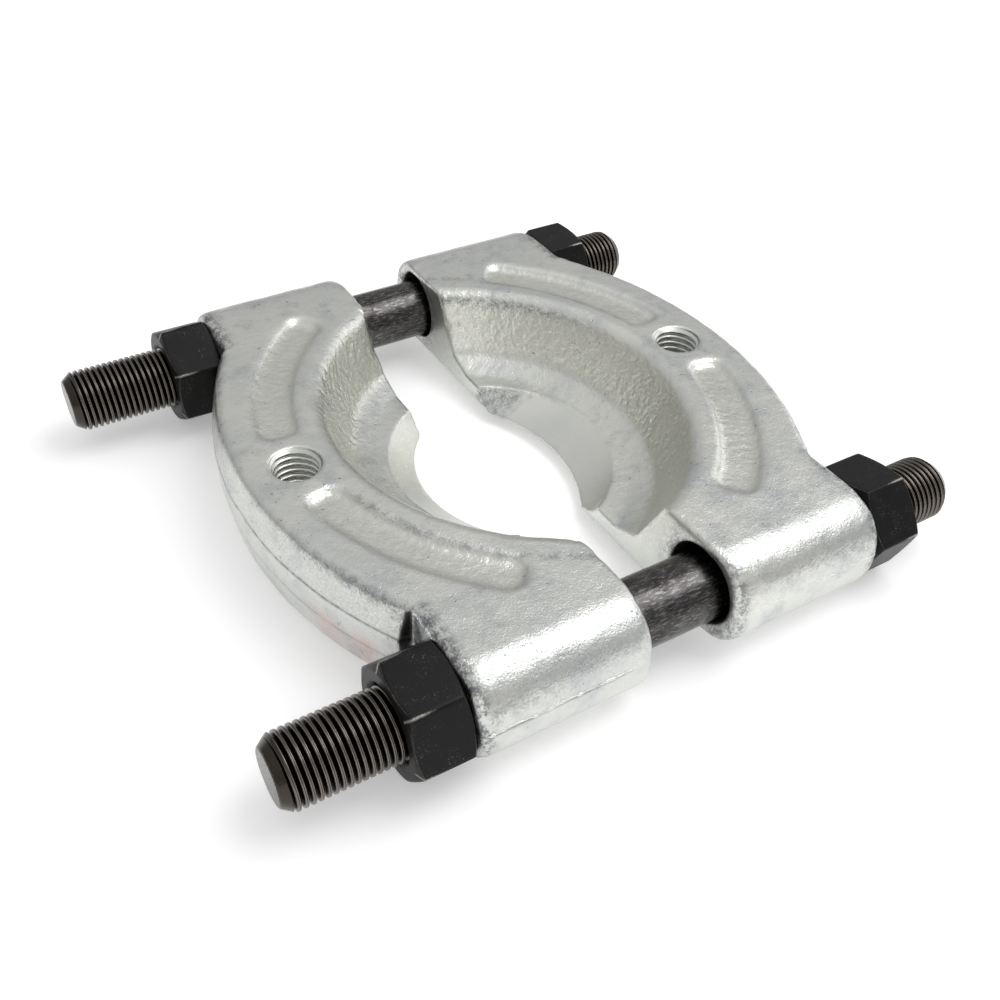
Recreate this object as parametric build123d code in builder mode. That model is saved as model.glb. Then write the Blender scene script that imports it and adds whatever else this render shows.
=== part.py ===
from build123d import *
import os
from math import cos, degrees, radians, sin, tan

# Bearing separator: two forged half jaws drawn together by two studs with a nut at each end.
# x runs along the studs, y across them and z up from the jaws' flat bottom.
# The origin is the middle of the opening. All sizes are in millimetres.

# Layout of the pair
STUD_SPACING = 133.6
REST_GAP = 20.4
JAW_HEIGHT = 24.0

# Lugs that the studs pass through, measured from the split face of a jaw
LUG_LENGTH = 42.3
LUG_HALF_WIDTH = 13.4
LUG_TOP_ROUND = 11.0
LUG_BOTTOM_ROUND = 9.0
LUG_END_CHAMFER = 1.2
SPLIT_EDGE_ROUND = 1.2
RIGHT_SPLIT_GRINDING = 0.0
LEFT_SPLIT_GRINDING = 1.1
STUD_HOLE_DIAMETER = 19.0
STUD_HOLE_CHAMFER = 0.5
SEAT_HALF_WIDTH = 14.3
STUD_DROP = 1.0

# Recess for the bearing, open towards the split face
RECESS_DEPTH = 33.9
RECESS_TO_STUD = 14.2
RECESS_SHIFT = 0.6
RECESS_DRAFT = 25.5
RECESS_EDGE_ROUND = 4.0
FOOT_HEIGHT = 8.2
FOOT_ROUND = 2.0
FLOOR_HEIGHT = 5.4
FLOOR_RAMP = 6.5

# Bevelled lip that reaches behind the bearing
LIP_DEPTH = 18.6
LIP_HALF_WIDTH = 29.2
LIP_LAND = 0.6
RIGHT_BORE_DEPTH = 6.8
RIGHT_BORE_HALF_WIDTH = 23.1
LEFT_BORE_DEPTH = 10.9
LEFT_BORE_HALF_WIDTH = 24.0

# Tapped hole for a puller leg, and the rim behind it
TAP_SETBACK = 10.8
TAP_DIAMETER = 12.0
TAP_CHAMFER = 0.5
RIM_SETBACK = 14.6
RIM_TO_STUD = 9.25
RIM_TOP_DRAFT = 2.0
RIM_BOTTOM_DRAFT = 1.4
RIM_TOP_ROUND = 2.0
RIM_BOTTOM_ROUND = 1.5
BELT_HEIGHT = 5.0
BELT_ROUND = 1.0

# Shallow curved pockets on both sides of the tapped hole
POCKET_SETBACK = 7.7
POCKET_AXIS_SHIFT = 1.8
POCKET_WIDTH = 10.1
POCKET_DEPTH = 1.8
POCKET_CORNER = 3.5
POCKET_DRAFT = 25.0
POCKET_START = 9.0
POCKET_END = 52.5

# Studs, threaded at both ends
STUD_LENGTH = 172.6
THREAD_DIAMETER = 15.9
SHANK_DIAMETER = 16.3
LONG_THREAD = 65.0
SHORT_THREAD = 30.3
STUD_END_CHAMFER = 2.0
FRONT_STUD_REACH = 30.1
BACK_STUD_REACH = 28.6

# Hexagon nuts, each with the angle of one corner about its stud
NUT_ACROSS_FLATS = 24.0
NUT_HEIGHT = 13.0
NUT_FACE_DIAMETER = 23.2
NUT_CROWN_ANGLE = 25.0
NUT_COUNTERSINK = 0.7
THREAD_CLEARANCE = 0.05
NUT_ANGLES = {"right_front": 51.0, "right_back": 2.6, "left_front": 10.0, "left_back": 30.0}

# Places worked out from the sizes above
CUT_PAST = 1.0
stud_y = STUD_SPACING / 2
hole_z = JAW_HEIGHT / 2
stud_z = hole_z - STUD_DROP
split_x = REST_GAP / 2
seat_x = split_x + LUG_LENGTH
tap_depth = RECESS_DEPTH + TAP_SETBACK
rim_depth = tap_depth + RIM_SETBACK


def arc_through(depth, half_width):
    """Radius and centre of the circle that is this deep, and this wide where it starts."""
    radius = (depth**2 + half_width**2) / (2 * depth)
    return radius, depth - radius


recess_radius, recess_axis = arc_through(RECESS_DEPTH, stud_y - RECESS_TO_STUD)
rim_radius, rim_offset = arc_through(rim_depth - LUG_LENGTH, stud_y - RIM_TO_STUD)
rim_axis = LUG_LENGTH + rim_offset
lip_radius, lip_axis = arc_through(LIP_DEPTH, LIP_HALF_WIDTH)


def half_jaw(frame, grinding, bore_depth, bore_half_width):
    """One forged half. The frame stands on its bottom, at the split, with x into the jaw.

    The split face is ground back from there, and the recess sits a little to one side.
    """
    across = Plane(frame.origin, x_dir=frame.y_dir, z_dir=frame.x_dir)
    along = Plane(frame.origin, x_dir=frame.x_dir, z_dir=-frame.y_dir)
    into_jaw = Axis(frame.origin, frame.x_dir)

    def upright_axis(distance, y=0):
        return Axis(frame.from_local_coords(Vector(distance, y, 0)), frame.z_dir)

    # Curved rim: turned about its own centre, with draft above and below a straight belt,
    # cut off at the studs and rounded at the split face like the lugs
    rim_edge = rim_axis + rim_radius
    with BuildPart() as rim:
        with BuildSketch(along):
            with BuildLine():
                FilletPolyline(
                    (rim_axis, JAW_HEIGHT),
                    (rim_edge - RIM_TOP_DRAFT, JAW_HEIGHT),
                    (rim_edge, hole_z + BELT_HEIGHT / 2),
                    (rim_edge, hole_z - BELT_HEIGHT / 2),
                    (rim_edge - RIM_BOTTOM_DRAFT, 0),
                    (rim_axis, 0),
                    radius=(RIM_TOP_ROUND, BELT_ROUND, BELT_ROUND, RIM_BOTTOM_ROUND),
                )
                Line((rim_axis, 0), (rim_axis, JAW_HEIGHT))
            make_face()
        revolve(axis=upright_axis(rim_axis))
        with BuildSketch(frame):
            with Locations(((rim_depth + grinding) / 2, 0)):
                Rectangle(rim_depth - grinding, STUD_SPACING)
        extrude(amount=JAW_HEIGHT, mode=Mode.INTERSECT)
        split_edges = rim.faces().filter_by(across).sort_by(into_jaw)[0].edges()
        fillet(split_edges.filter_by(Axis.Y), SPLIT_EDGE_ROUND)

    with BuildPart() as jaw:
        # Lugs: one rounded section carried along each stud, rounded off where the jaws meet
        lug_inner = stud_y - SEAT_HALF_WIDTH - CUT_PAST
        lug_outer = stud_y + LUG_HALF_WIDTH
        for side in (-1, 1):
            with BuildSketch(across.offset(grinding)):
                with BuildLine():
                    FilletPolyline(
                        (side * lug_inner, 0),
                        (side * lug_outer, 0),
                        (side * lug_outer, JAW_HEIGHT),
                        (side * lug_inner, JAW_HEIGHT),
                        radius=(LUG_BOTTOM_ROUND, LUG_TOP_ROUND),
                    )
                    Line((side * lug_inner, JAW_HEIGHT), (side * lug_inner, 0))
                make_face()
            extrude(amount=LUG_LENGTH - grinding)
        ends = jaw.faces().filter_by(across).group_by(into_jaw)
        split_end = ends[0].edges().filter_by(lambda edge: abs(edge.center().Y) > lug_inner + CUT_PAST)
        nut_end = ends[-1].edges().filter_by(lambda edge: abs(edge.center().Y) > lug_inner + CUT_PAST)
        fillet(split_end, SPLIT_EDGE_ROUND)
        chamfer(nut_end, LUG_END_CHAMFER)

        # The lugs and the rim are one forging
        add(rim.part)

        # Flat seats for the nuts: beside them the rim is milled away down to the lugs' ends
        with BuildSketch(across.offset(LUG_LENGTH)):
            with Locations((-stud_y, hole_z), (stud_y, hole_z)):
                Rectangle(2 * SEAT_HALF_WIDTH, JAW_HEIGHT + 2 * CUT_PAST)
        extrude(amount=rim_depth - LUG_LENGTH, mode=Mode.SUBTRACT)

        # Recess: rounded edge, drafted wall, rounded foot and a floor that falls towards the lip
        foot_radius = recess_radius - (JAW_HEIGHT - FOOT_HEIGHT) * tan(radians(RECESS_DRAFT))
        flare = recess_axis + recess_radius + RECESS_EDGE_ROUND
        recess_base = frame.from_local_coords(Vector(0, -RECESS_SHIFT, 0))
        with BuildSketch(Plane(recess_base, x_dir=along.x_dir, z_dir=along.z_dir)):
            with BuildLine():
                FilletPolyline(
                    (flare, JAW_HEIGHT),
                    (recess_axis + recess_radius, JAW_HEIGHT),
                    (recess_axis + foot_radius, FOOT_HEIGHT),
                    (recess_axis + foot_radius - FLOOR_RAMP, FLOOR_HEIGHT),
                    (recess_axis, FLOOR_HEIGHT),
                    radius=(RECESS_EDGE_ROUND, FOOT_ROUND, FOOT_ROUND),
                )
                Polyline(
                    (recess_axis, FLOOR_HEIGHT),
                    (recess_axis, JAW_HEIGHT + CUT_PAST),
                    (flare, JAW_HEIGHT + CUT_PAST),
                    (flare, JAW_HEIGHT),
                )
            make_face()
        revolve(axis=upright_axis(recess_axis, -RECESS_SHIFT), mode=Mode.SUBTRACT)

        # Bore: a narrow land at the bottom, then a bevel up to the recess floor
        bore_radius, bore_axis = arc_through(bore_depth, bore_half_width)
        rise = (FLOOR_HEIGHT + CUT_PAST - LIP_LAND) / (FLOOR_HEIGHT - LIP_LAND)
        with BuildSketch(frame.offset(-CUT_PAST)):
            with Locations((bore_axis, 0)):
                Circle(bore_radius)
        extrude(amount=CUT_PAST + LIP_LAND, mode=Mode.SUBTRACT)
        with BuildSketch(frame.offset(LIP_LAND)):
            with Locations((bore_axis, 0)):
                Circle(bore_radius)
        with BuildSketch(frame.offset(FLOOR_HEIGHT + CUT_PAST)):
            with Locations((bore_axis + rise * (lip_axis - bore_axis), 0)):
                Circle(bore_radius + rise * (lip_radius - bore_radius))
        loft(mode=Mode.SUBTRACT)

        # Clearance holes for the studs and a tapped hole, cut to its outer thread diameter
        stud_hole = (frame.x_dir, LUG_LENGTH - grinding, STUD_HOLE_DIAMETER / 2, STUD_HOLE_CHAMFER)
        tapped_hole = (frame.z_dir, JAW_HEIGHT, TAP_DIAMETER / 2, TAP_CHAMFER)
        for mouth, (direction, length, radius, edge) in (
            (Vector(grinding, -stud_y, hole_z), stud_hole),
            (Vector(grinding, stud_y, hole_z), stud_hole),
            (Vector(tap_depth, 0, 0), tapped_hole),
        ):
            hole = Plane(frame.from_local_coords(mouth), x_dir=direction, z_dir=frame.y_dir)
            with BuildSketch(hole):
                with BuildLine():
                    Polyline(
                        (0, 0),
                        (0, radius + edge),
                        (edge, radius),
                        (length - edge, radius),
                        (length, radius + edge),
                        (length, 0),
                        close=True,
                    )
                make_face()
            revolve(axis=Axis(hole.origin, direction), mode=Mode.SUBTRACT)

        # Pockets: two stretches of one ring, with rounded corners and sloping walls
        pocket_centre = Vector(recess_axis - POCKET_AXIS_SHIFT, 0, JAW_HEIGHT)
        looking_down = Plane(frame.from_local_coords(pocket_centre), x_dir=frame.x_dir, z_dir=-frame.z_dir)
        inner = recess_radius + POCKET_SETBACK
        outer = inner + POCKET_WIDTH
        draft = POCKET_DEPTH * tan(radians(POCKET_DRAFT))
        for side in (-1, 1):
            for depth, inset in ((0, 0), (POCKET_DEPTH, draft)):
                start = side * (POCKET_START + degrees(inset / inner))
                sweep = side * (POCKET_END - degrees(inset / inner)) - start
                with BuildSketch(looking_down.offset(depth)) as outline:
                    with BuildLine():
                        inner_arc = CenterArc((0, 0), inner + inset, start, sweep)
                        outer_arc = CenterArc((0, 0), outer - inset, start, sweep)
                        Line(inner_arc @ 0, outer_arc @ 0)
                        Line(inner_arc @ 1, outer_arc @ 1)
                    make_face()
                    fillet(outline.vertices(), POCKET_CORNER - inset)
            loft(ruled=True, mode=Mode.SUBTRACT)
    return jaw


def stud(reach, y):
    """A stud threaded at both ends, its right end this far past the seat of the right nut."""
    left_end = seat_x + reach - STUD_LENGTH
    axis_plane = Plane((left_end, y, stud_z), x_dir=(1, 0, 0), z_dir=(0, -1, 0))
    thread = THREAD_DIAMETER / 2
    shank = SHANK_DIAMETER / 2
    step = shank - thread
    shank_end = STUD_LENGTH - SHORT_THREAD
    with BuildPart() as rod:
        with BuildSketch(axis_plane):
            with BuildLine():
                Polyline(
                    (0, 0),
                    (0, thread - STUD_END_CHAMFER),
                    (STUD_END_CHAMFER, thread),
                    (LONG_THREAD, thread),
                    (LONG_THREAD + step, shank),
                    (shank_end - step, shank),
                    (shank_end, thread),
                    (STUD_LENGTH - STUD_END_CHAMFER, thread),
                    (STUD_LENGTH, thread - STUD_END_CHAMFER),
                    (STUD_LENGTH, 0),
                    close=True,
                )
            make_face()
        revolve(axis=Axis(axis_plane.origin, axis_plane.x_dir))
    return rod


def hex_nut(side, y, angle):
    """A nut seated on the right (1) or left (-1) lugs, with one corner at this angle from +y to +z."""
    turn = radians(angle)
    seat = Plane((side * seat_x, y, stud_z), x_dir=(0, cos(turn), sin(turn)), z_dir=(side, 0, 0))
    radial = Plane(seat.origin, x_dir=seat.z_dir, z_dir=seat.x_dir.cross(seat.z_dir))
    bore = THREAD_DIAMETER / 2 + THREAD_CLEARANCE
    face = NUT_FACE_DIAMETER / 2
    corner = NUT_ACROSS_FLATS / 2 / cos(radians(30)) + CUT_PAST
    crown = (corner - face) * tan(radians(NUT_CROWN_ANGLE))
    with BuildPart() as nut:
        with BuildSketch(radial):
            with BuildLine():
                Polyline(
                    (0, bore + NUT_COUNTERSINK),
                    (0, face),
                    (crown, corner),
                    (NUT_HEIGHT - crown, corner),
                    (NUT_HEIGHT, face),
                    (NUT_HEIGHT, bore + NUT_COUNTERSINK),
                    (NUT_HEIGHT - NUT_COUNTERSINK, bore),
                    (NUT_COUNTERSINK, bore),
                    close=True,
                )
            make_face()
        revolve(axis=Axis(seat.origin, seat.z_dir))
        with BuildSketch(seat):
            RegularPolygon(NUT_ACROSS_FLATS / 2, 6, major_radius=False)
        extrude(amount=NUT_HEIGHT, mode=Mode.INTERSECT)
    return nut


right_frame = Plane((split_x, 0, 0))
left_frame = Plane((-split_x, 0, 0), x_dir=(-1, 0, 0))
jaw_right = half_jaw(right_frame, RIGHT_SPLIT_GRINDING, RIGHT_BORE_DEPTH, RIGHT_BORE_HALF_WIDTH)
jaw_left = half_jaw(left_frame, LEFT_SPLIT_GRINDING, LEFT_BORE_DEPTH, LEFT_BORE_HALF_WIDTH)
stud_front = stud(FRONT_STUD_REACH, -stud_y)
stud_back = stud(BACK_STUD_REACH, stud_y)

pieces = {
    "jaw_right": jaw_right,
    "jaw_left": jaw_left,
    "stud_front": stud_front,
    "stud_back": stud_back,
}
for place, angle in NUT_ANGLES.items():
    side = 1 if place.startswith("right") else -1
    row_y = -stud_y if place.endswith("front") else stud_y
    pieces["nut_" + place] = hex_nut(side, row_y, angle)

os.makedirs("parts", exist_ok=True)
for name, piece in pieces.items():
    piece.part.label = name
    export_step(piece.part, f"parts/{name}.step")
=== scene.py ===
import bpy
import numpy as np
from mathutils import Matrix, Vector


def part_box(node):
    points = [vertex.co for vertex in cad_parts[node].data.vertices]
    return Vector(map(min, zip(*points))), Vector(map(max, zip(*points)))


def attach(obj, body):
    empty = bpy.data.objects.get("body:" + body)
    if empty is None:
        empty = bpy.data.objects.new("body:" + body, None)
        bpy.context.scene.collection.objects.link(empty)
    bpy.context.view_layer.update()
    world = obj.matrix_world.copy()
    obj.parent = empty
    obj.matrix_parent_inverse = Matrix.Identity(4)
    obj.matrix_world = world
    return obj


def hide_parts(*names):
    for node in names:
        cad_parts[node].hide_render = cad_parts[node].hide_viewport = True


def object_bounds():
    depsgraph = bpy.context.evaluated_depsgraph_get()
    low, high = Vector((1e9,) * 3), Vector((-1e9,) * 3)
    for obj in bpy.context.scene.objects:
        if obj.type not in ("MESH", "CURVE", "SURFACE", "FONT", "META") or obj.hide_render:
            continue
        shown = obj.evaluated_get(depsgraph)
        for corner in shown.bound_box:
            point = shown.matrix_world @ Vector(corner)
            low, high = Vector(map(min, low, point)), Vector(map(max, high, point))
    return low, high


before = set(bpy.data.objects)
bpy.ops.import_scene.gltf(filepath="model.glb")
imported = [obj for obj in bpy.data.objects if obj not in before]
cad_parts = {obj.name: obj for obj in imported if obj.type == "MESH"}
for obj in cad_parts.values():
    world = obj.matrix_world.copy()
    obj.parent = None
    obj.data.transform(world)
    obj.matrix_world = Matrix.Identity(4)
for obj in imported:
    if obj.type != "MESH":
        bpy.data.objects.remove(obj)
CAD_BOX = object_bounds()

# Half jaws: two steel forgings, trimmed of their flash, milled at the split, the bore and the nut
# seats, drilled, tapped and zinc plated. The forging's pitted skin stays under the plating, every
# forged edge is soft, and a thin line of trimmed flash runs along both sides.

MM = 0.001

# Each jaw's body and the sign of its half turn, then the fine mesh and its thinning
JAW_NODES = {"jaw_right": ("right_jaw", 1), "jaw_left": ("left_jaw", -1)}
JAW_MERGE = 0.001 * MM
JAW_VOXEL = 0.5 * MM
JAW_TRIANGLES = 164000
PLAIN_WEIGHT, OTHER_WEIGHT = 1.0, 0.1
THINNING_BIAS = 0.000001

# Sizes in a jaw's own frame: u from the opening into the jaw, v across it, z up
right_low, right_high = (np.array(corner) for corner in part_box("jaw_right"))
left_high = np.array(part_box("jaw_left")[1])
stud_low, stud_high = (np.array(corner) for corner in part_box("stud_front"))
JAW_TOP = right_high[2]
SIDE_Y = right_high[1]
STUD_Y = -(stud_low[1] + stud_high[1]) / 2
SPLIT_X = {"jaw_right": right_low[0], "jaw_left": -left_high[0]}
SEAT_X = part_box("nut_right_front")[0][0]
SEAT_SIDE = STUD_Y - 14.3 * MM
HOLE_Z = 12.0 * MM
HOLE_RADIUS = 9.5 * MM
TAP_X = 54.9 * MM
TAP_RADIUS = 6.0 * MM
TAP_ROOT = 5.93 * MM
TAP_CREST = 5.1 * MM
TAP_PITCH = 1.75 * MM
TAP_MARGIN = 0.3 * MM
TAP_WALL = 0.5 * MM
TAP_CONE_SLOPE = 1.1
TAP_ROWS, TAP_SIDES = 182, 72
RECESS_X = -13.66 * MM
RECESS_Y = -0.6 * MM
RECESS_RADIUS = 57.76 * MM
RECESS_SLOPE = np.tan(np.radians(25.5))
FOOT_Z = 8.2 * MM
FLOOR_Z = 5.4 * MM
LIP_X = -3.42 * MM
LIP_RADIUS = 32.22 * MM
LIP_LAND = 0.6 * MM
BORE_X = {"jaw_right": -25.64 * MM, "jaw_left": -10.77 * MM}
BORE_RADIUS = {"jaw_right": 42.64 * MM, "jaw_left": 31.87 * MM}
RIM_X = -36.4 * MM
RIM_RADIUS = 105.9 * MM
BELT_LOW = 8.3 * MM
BELT_HIGH = 15.2 * MM
FLASH_Z = 12.9 * MM
FLASH_HEIGHT = {"jaw_right": 0.18 * MM, "jaw_left": 0.33 * MM}
FLASH_SUNK = 0.05 * MM
FLASH_ROWS, FLASH_SIDES = 240, 8
POCKET_X = -15.46 * MM
POCKET_INNER = 65.46 * MM
POCKET_OUTER = 75.56 * MM
POCKET_FLOOR = JAW_TOP - 1.8 * MM
TIP_SOFTNESS = {"jaw_right": 0.5 * MM, "jaw_left": 1.7 * MM}
TIP_LEAD_LIMIT = 30
BEVEL_CATCH = 0.45 * MM
SMEARS = ((63.4 * MM, 33.8 * MM), (59.4 * MM, 44 * MM))
SMEAR_RADIUS = 4 * MM

# Share of the way that a point moves in each round of relaxing, and the rounds: everywhere first,
# to even out the voxels, then on the forged edges
EVEN_WEIGHT, EVEN_ROUNDS = 0.5, 3
EDGE_WEIGHT, EDGE_ROUNDS = 0.6, 30

# The skin's waves, each with its depth in mm, its length and its seed, and the limits of the skin
SKIN_WAVES = ((0.03, 11 * MM, 3), (0.014, 3.5 * MM, 4))
YELLOW_SKIN_WAVES = ((0.025, 2.6 * MM, 5), (0.03, 1.5 * MM, 6))
SKIN_TOP = 0.05
STEP_LINE_DEPTH = 0.1


def fade(value, low, high):
    """0 below low, 1 above high, and a smooth step (3t^2 - 2t^3) between them."""
    t = np.clip((value - low) / (high - low), 0, 1)
    return t * t * (3 - 2 * t)


def bell(value, middle, half_width):
    """1 at the middle, falling as a bell curve over the half width."""
    return np.exp(-(((value - middle) / half_width) ** 2))


def waves(points, wavelength, seed, count=40):
    """Smooth noise: a sum of plane waves, each in a random direction with a random phase."""
    rng = np.random.default_rng(seed)
    directions = rng.normal(size=(count, 3))
    directions /= np.linalg.norm(directions, axis=1)[:, None]
    lengths = wavelength * rng.uniform(0.7, 1.5, count)
    phases = rng.uniform(0, 2 * np.pi, count)
    turns = points @ (directions / lengths[:, None]).T * 2 * np.pi + phases
    return np.sin(turns).sum(axis=1) / np.sqrt(count / 2)


def read_array(items, name, width, kind=float):
    """One property of all the items, as rows of the width."""
    flat = np.empty(len(items) * width, dtype=kind)
    items.foreach_get(name, flat)
    return flat.reshape(-1, width)


def relaxed(points, edges, weight, rounds):
    """Each point moves towards the mean of its neighbours by its own weight, again and again."""
    ends = np.concatenate([edges, edges[:, ::-1]])
    degree = np.bincount(ends[:, 0], minlength=len(points))[:, None]
    for _ in range(rounds):
        sums = [np.bincount(ends[:, 0], points[ends[:, 1], k], len(points)) for k in range(3)]
        points = points + weight[:, None] * (np.stack(sums, axis=1) / degree - points)
    return points


def grid_quads(rows, columns, closed_rows=False):
    """Faces of a grid whose columns close into rings. Where the rows go up a ring's axis, they
    face away from it."""
    first_rows = np.arange(rows if closed_rows else rows - 1)
    i, j = np.meshgrid(first_rows, np.arange(columns), indexing="ij")
    beside = (j + 1) % columns
    above = (i + 1) % rows
    quads = [i * columns + j, i * columns + beside, above * columns + beside, above * columns + j]
    return np.stack(quads, axis=-1).reshape(-1, 4)


def smooth_mesh(name, parts):
    """One smooth mesh of several parts: each has its points, its faces of three or of four corners
    and its attributes."""
    points = np.concatenate([part[0] for part in parts])
    starts = np.cumsum([0] + [len(part[0]) for part in parts])
    corners = np.concatenate([(part[1] + start).ravel() for part, start in zip(parts, starts)])
    sizes = np.concatenate([np.full(len(part[1]), part[1].shape[1]) for part in parts])
    mesh = bpy.data.meshes.new(name)
    mesh.vertices.add(len(points))
    mesh.vertices.foreach_set("co", points.astype(np.float32).ravel())
    mesh.loops.add(len(corners))
    mesh.loops.foreach_set("vertex_index", corners.astype(np.int32))
    mesh.polygons.add(len(sizes))
    mesh.polygons.foreach_set("loop_start", (np.cumsum(sizes) - sizes).astype(np.int32))
    mesh.polygons.foreach_set("use_smooth", np.ones(len(sizes), dtype=bool))
    mesh.update(calc_edges=True)
    for key in sorted({key for part in parts for key in part[2]}):
        values = [np.broadcast_to(part[2].get(key, 0.0), len(part[0])) for part in parts]
        layer = mesh.attributes.new(key, "FLOAT", "POINT")
        layer.data.foreach_set("value", np.concatenate(values).astype(np.float32))
    return mesh


def new_object(name, data):
    """An object of the data, in the scene's collection."""
    made = bpy.data.objects.new(name, data)
    bpy.context.collection.objects.link(made)
    return made


def modified_mesh(piece):
    """The mesh of an object with its modifiers applied. The object is removed."""
    mesh = bpy.data.meshes.new_from_object(piece.evaluated_get(bpy.context.evaluated_depsgraph_get()))
    bpy.data.objects.remove(piece)
    return mesh


def own_frame(points, turn):
    """A jaw's points in its own frame: u from the opening into the jaw, v across it, z up."""
    return points[:, 0] * turn, points[:, 1] * turn, points[:, 2]


def recess_wall(z):
    """Radius of the recess's sloping wall at a height."""
    return RECESS_RADIUS - (JAW_TOP - z) * RECESS_SLOPE


def upper_edge(z):
    """1 in the jaw's top 2 mm, and 0 a little lower."""
    return fade(z, JAW_TOP - 3.5 * MM, JAW_TOP - 2 * MM)


def finishes(node, turn, points):
    """Where each finish shows, as shares from 0 to 1: the yellower recess and pockets, the milled
    faces, lines of steps and of painted shade, grime with painted shade and a painted dark reflection, pink
    smears and grain."""
    split = SPLIT_X[node]
    u, v, z = own_frame(points, turn)
    side = abs(v)
    from_recess = np.hypot(u - RECESS_X, v - RECESS_Y)
    from_pocket = np.hypot(u - POCKET_X, v)
    from_stud = np.hypot(side - STUD_Y, z - HOLE_Z)
    from_tap = np.hypot(u - TAP_X, v)
    from_rim = np.hypot(u - RIM_X, v)

    # Yellower: the recess's wall below its top edge, and the pockets without the web between them
    recess = bell(from_recess, recess_wall(z) - 0.5 * MM, 3.5 * MM)
    recess *= fade(z, FLOOR_Z + 0.5 * MM, FOOT_Z + 2.5 * MM)
    recess *= 1 - fade(z, JAW_TOP - 2.2 * MM, JAW_TOP - 0.6 * MM)
    in_pocket = 1 - fade(z, POCKET_FLOOR + 0.3 * MM, JAW_TOP - 0.3 * MM)
    in_pocket *= fade(z, POCKET_FLOOR - 1 * MM, POCKET_FLOOR - 0.5 * MM) * fade(side, 7 * MM, 8 * MM)
    in_pocket *= fade(from_pocket, POCKET_INNER - 1 * MM, POCKET_INNER)
    in_pocket *= 1 - fade(from_pocket, POCKET_OUTER, POCKET_OUTER + 1 * MM)
    yellow = np.maximum(recess, 0.6 * in_pocket)

    # Milled: the split, the nut seats, the mouths of the holes and the lip, but for a forged patch
    lip = 1 - fade(np.hypot(u - LIP_X, v), LIP_RADIUS, LIP_RADIUS + 1 * MM)
    unmilled = lip * fade(v + 0.9 * MM * waves(points, 2.5 * MM, 7), 17.5 * MM, 22 * MM)
    unmilled *= (1 - fade(z, FLOOR_Z - 0.6 * MM, FLOOR_Z)) * (turn > 0)
    milled = np.max([
        1 - fade(u, split + 0.15 * MM, split + 0.6 * MM),
        fade(u, SEAT_X - 0.4 * MM, SEAT_X - 0.1 * MM) * fade(side, SEAT_SIDE - 0.3 * MM, SEAT_SIDE),
        1 - fade(from_stud, HOLE_RADIUS + 0.4 * MM, HOLE_RADIUS + 1 * MM),
        1 - fade(from_tap, TAP_RADIUS + 0.4 * MM, TAP_RADIUS + 1 * MM),
        lip * (1 - fade(z, FLOOR_Z - 0.6 * MM, FLOOR_Z - 0.1 * MM)) * (1 - unmilled),
    ], axis=0)

    # Lines of steps: both edges of the rim's belt, and a line of painted shade under the flash on the left
    # jaw's sides
    rim_wall = fade(from_rim, RIM_RADIUS - 3 * MM, RIM_RADIUS - 2 * MM)
    rim_wall *= 1 - fade(side, SEAT_SIDE, SEAT_SIDE + 0.5 * MM)
    wander = 0.1 * MM * waves(points, 18 * MM, 8)
    upper_line = bell(z, BELT_HIGH + wander, 0.3 * MM)
    lower_line = 0.6 * bell(z, BELT_LOW + wander, 0.3 * MM)
    under_flash_shade = bell(z, FLASH_Z - 0.6 * MM, 0.35 * MM) * fade(side, SIDE_Y - 2 * MM, SIDE_Y - 1 * MM)
    side_shade_line = 0.8 * under_flash_shade * fade(u, split + 4 * MM, split + 9 * MM) * (turn < 0)
    steps = np.maximum(np.maximum(upper_line, lower_line) * rim_wall, side_shade_line)

    # Darker marks: grime round the holes and at the right jaw's split, darker bands along the top's edges,
    # grime with painted shade beside the seats, a painted dark reflection on the lugs' shoulders
    top_rim = upper_edge(z) * bell(from_rim, RIM_RADIUS - 2.2 * MM, 1.2 * MM)
    under_edge = bell(z, JAW_TOP - 2.4 * MM, 1.2 * MM) * bell(from_recess, recess_wall(z), 1.5 * MM)
    pocket_edge = upper_edge(z) * bell(from_pocket, POCKET_INNER - 0.3 * MM, 1 * MM)
    # A darker band on the lugs' shoulders: a painted dark reflection between their highlight and their
    # sides, with some grime
    shoulder_grime_and_reflection = bell(z, 17 * MM, 2.4 * MM) * fade(side, STUD_Y + 7 * MM, STUD_Y + 10 * MM)
    # Darker beside the nut seats: grime, and painted shade of the gap between jaw and nut
    seat_grime_and_shade = fade(u, SEAT_X - 5 * MM, SEAT_X - 1 * MM)
    seat_grime_and_shade *= fade(side, SEAT_SIDE - 1 * MM, SEAT_SIDE + 1 * MM)
    split_corner = 1 - fade(u, split + 1.5 * MM, split + 5 * MM)
    grimy = np.max([
        0.9 * seat_grime_and_shade,
        0.6 * top_rim * fade(side, 5 * MM, 45 * MM) * (1 - fade(side, 50 * MM, 53 * MM)),
        0.75 * under_edge * fade(v, 8 * MM, 40 * MM),
        0.55 * pocket_edge * fade(v, 8 * MM, 20 * MM),
        0.5 * shoulder_grime_and_reflection * (0.35 + 0.65 * fade(u, split + 14 * MM, SEAT_X)),
        0.9 * bell(from_stud, HOLE_RADIUS + 0.4 * MM, 0.8 * MM),
        0.7 * (turn > 0) * split_corner * fade(side, STUD_Y, STUD_Y + 8 * MM),
        0.5 * (turn > 0) * bell(from_stud, HOLE_RADIUS + 1.5 * MM, 2.5 * MM) * (u < split + 0.6 * MM),
        0.5 * unmilled,
    ], axis=0)

    # Pink smears low on the left jaw's outer wall, and the grain of the roughest skin
    pink = sum(bell(np.hypot(u - smear_u, v - smear_v), 0, SMEAR_RADIUS) for smear_u, smear_v in SMEARS)
    pink *= rim_wall * (1 - fade(z, 9 * MM, 13 * MM)) * (turn < 0)
    above_belt = rim_wall * fade(z, BELT_HIGH, BELT_HIGH + 0.5 * MM)
    grainy = np.max([above_belt, 0.6 * yellow, unmilled], axis=0)
    return {
        "yellow": yellow, "milled": milled, "step_line": steps,
        "grimy": grimy, "pink": pink, "grainy": grainy,
    }


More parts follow.
